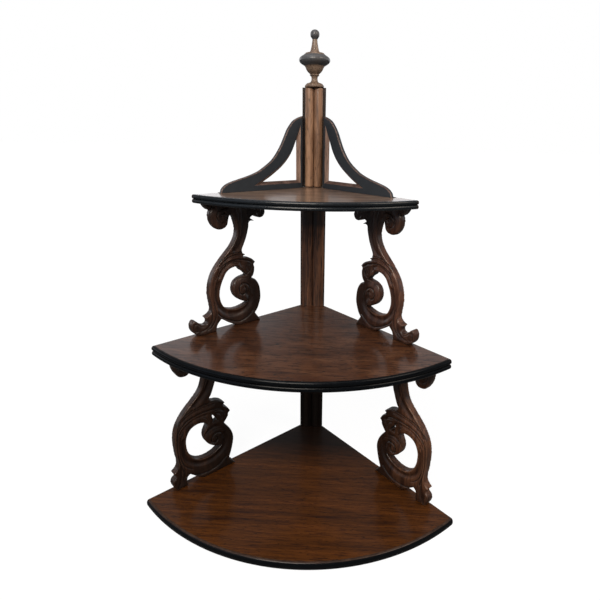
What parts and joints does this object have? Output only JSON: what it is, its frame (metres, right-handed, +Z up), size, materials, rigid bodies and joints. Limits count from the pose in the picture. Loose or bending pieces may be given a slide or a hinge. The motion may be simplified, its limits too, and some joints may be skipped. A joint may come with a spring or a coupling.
{
  "type": "corner shelving unit",
  "caption": "Bow fronted corner whatnot: tiered quadrant shelves on pierced scroll supports and a reeded corner post, with a pierced gallery and a turned finial.",
  "frame": {"origin": "middle of the bounding box's bottom face, on the floor", "axes": "+Z up, -Y towards the open bowed front, +Y towards the room's corner, +X to the viewer's right; the two walls run from the corner at 45 degrees to the front"},
  "size_m": [0.6076, 0.4334, 0.9298],
  "materials": {
    "shelf_boards": "french polished mahogany, fine dark pores",
    "edge_mouldings": "ebonised and polished",
    "post_blocks": "ebonised and polished",
    "reeding": "polished brown mahogany, darker lower down",
    "scroll_supports": "dark polished mahogany, fret cut and carved",
    "gallery": "ebonised face with worn brown edges",
    "finial": "turned, brown with an ebonised ball and ring",
    "dowels": "bare turned beech"
  },
  "bodies": {
    "root": {"bottom_moulding": "edge_mouldings", "bottom_post_dowel": "dowels", "bottom_shelf": "shelf_boards", "finial": "finial", "left_gallery_bracket": "gallery", "left_gallery_dowel_inner": "dowels", "left_gallery_dowel_outer": "dowels", "lower_left_cap_dowel_inner": "dowels", "lower_left_cap_dowel_outer": "dowels", "lower_left_foot_dowel_inner": "dowels", "lower_left_foot_dowel_outer": "dowels", "lower_left_support": "scroll_supports", "lower_post": "post_blocks", "lower_post_reeding": "reeding", "lower_right_cap_dowel_inner": "dowels", "lower_right_cap_dowel_outer": "dowels", "lower_right_foot_dowel_inner": "dowels", "lower_right_foot_dowel_outer": "dowels", "lower_right_support": "scroll_supports", "middle_moulding": "edge_mouldings", "middle_post": "post_blocks", "middle_post_dowel": "dowels", "middle_post_reeding": "reeding", "middle_shelf": "shelf_boards", "right_gallery_bracket": "gallery", "right_gallery_dowel_inner": "dowels", "right_gallery_dowel_outer": "dowels", "top_moulding": "edge_mouldings", "top_post_dowel": "dowels", "top_shelf": "shelf_boards", "upper_left_cap_dowel_inner": "dowels", "upper_left_cap_dowel_outer": "dowels", "upper_left_foot_dowel_inner": "dowels", "upper_left_foot_dowel_outer": "dowels", "upper_left_support": "scroll_supports", "upper_post": "post_blocks", "upper_post_reeding": "reeding", "upper_right_cap_dowel_inner": "dowels", "upper_right_cap_dowel_outer": "dowels", "upper_right_foot_dowel_inner": "dowels", "upper_right_foot_dowel_outer": "dowels", "upper_right_support": "scroll_supports"}
  },
  "joints": []
}
